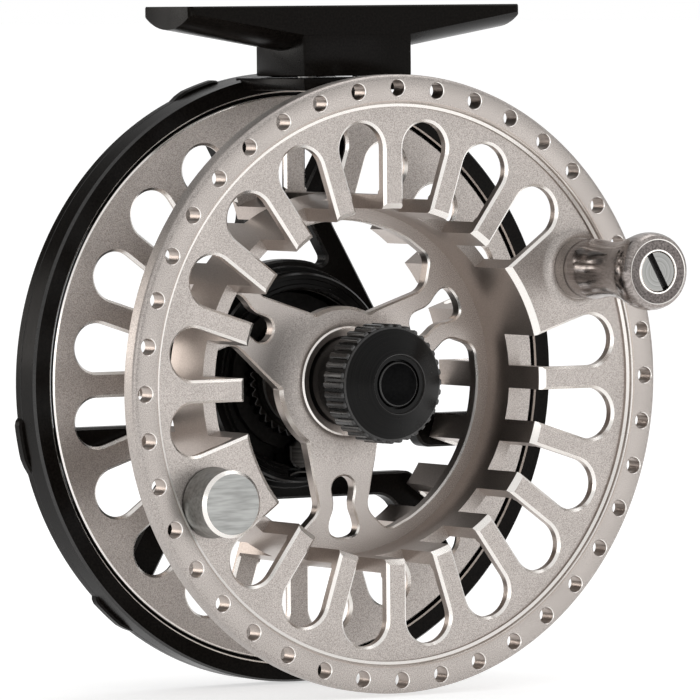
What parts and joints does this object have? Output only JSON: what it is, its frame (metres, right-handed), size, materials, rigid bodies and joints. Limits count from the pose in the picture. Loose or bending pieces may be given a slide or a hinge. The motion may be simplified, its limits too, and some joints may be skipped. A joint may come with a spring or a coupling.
{
  "type": "fly reel",
  "caption": "Large-arbor fly reel: drilled and slotted silver spool with spider hub, knurled cap and side handle, on a slim black frame with reel foot and rear drag knob.",
  "frame": {"origin": "centre of the foot's flat top, where the rod's reel seat presses", "axes": "+Z out of the foot's top, X along the foot and the rod, -Y out of the handle side along the spool's axis"},
  "size_m": [0.1048, 0.0764, 0.1157],
  "materials": {
    "blasted_aluminium": "bead-blasted and anodised in a warm silver",
    "black_anodised": "gloss black anodised",
    "polished_handle": "turned and polished, warm grey",
    "brushed_aluminium": "brushed",
    "stainless_steel": "turned",
    "bearing_bronze": "turned",
    "rubberised_cork": "dark, ground flat",
    "black_acetal": "moulded"
  },
  "bodies": {
    "frame": {"frame": "black_anodised", "reel_foot": "black_anodised", "foot_screw_left": "stainless_steel", "foot_screw_right": "stainless_steel", "drag_housing": "black_anodised", "spindle": "stainless_steel", "spindle_nut": "stainless_steel", "knob_screw": "stainless_steel", "friction_washer": "rubberised_cork", "pressure_disc": "stainless_steel", "spring_washer_front": "stainless_steel", "spring_washer_rear": "stainless_steel", "click_spring": "stainless_steel"},
    "rotor": {"ratchet_wheel": "stainless_steel", "roller_clutch": "stainless_steel", "drive_pin_top": "stainless_steel", "drive_pin_left": "stainless_steel", "drive_pin_right": "stainless_steel"},
    "spool": {"spool": "blasted_aluminium", "front_bush": "bearing_bronze", "rear_bush": "bearing_bronze", "counterweight": "brushed_aluminium", "counterweight_rivet": "stainless_steel", "handle_post": "stainless_steel", "handle_screw": "stainless_steel"},
    "handle": {"handle_knob": "polished_handle", "handle_washer": "black_acetal"},
    "cap": {"spool_cap": "black_anodised", "cap_button": "black_acetal", "cap_washer": "bearing_bronze"},
    "drag_knob": {"drag_knob": "black_anodised"},
    "thrust_ring": {"thrust_ring": "bearing_bronze", "thrust_pin_top": "stainless_steel", "thrust_pin_left": "stainless_steel", "thrust_pin_right": "stainless_steel"},
    "click_pawl": {"click_pawl": "brushed_aluminium"}
  },
  "joints": [
    {"name": "spool_spin", "type": "hinge", "parent": "frame", "child": "rotor", "pos_m": [0, 0, -0.0636], "axis": [0, 1, 0], "continuous": true},
    {"name": "spool_release", "type": "slide", "parent": "rotor", "child": "spool", "axis": [0, -1, 0], "range_m": [0, 0.045]},
    {"name": "handle_spin", "type": "hinge", "parent": "spool", "child": "handle", "pos_m": [0.03649, 0, -0.04501], "axis": [0, 1, 0], "continuous": true},
    {"name": "cap_unscrew", "type": "hinge", "parent": "spool", "child": "cap", "pos_m": [0, 0, -0.0636], "axis": [0, -1, 0], "range_deg": [0, 720]},
    {"name": "drag_adjust", "type": "hinge", "parent": "frame", "child": "drag_knob", "pos_m": [0, 0, -0.0636], "axis": [0, -1, 0], "range_deg": [0, 270]},
    {"name": "thrust_slide", "type": "slide", "parent": "frame", "child": "thrust_ring", "axis": [0, -1, 0], "range_m": [0, 0.0008]},
    {"name": "click_slide", "type": "slide", "parent": "frame", "child": "click_pawl", "axis": [0, 0, -1], "range_m": [0, 0.0008], "stiffness_N_per_m": 600, "springref_m": -0.0005, "deforming": ["click_spring"]}
  ],
  "couplings": [
    {"joint": "thrust_slide", "follows": "drag_adjust", "m_per_rad": 0.00015915}
  ]
}
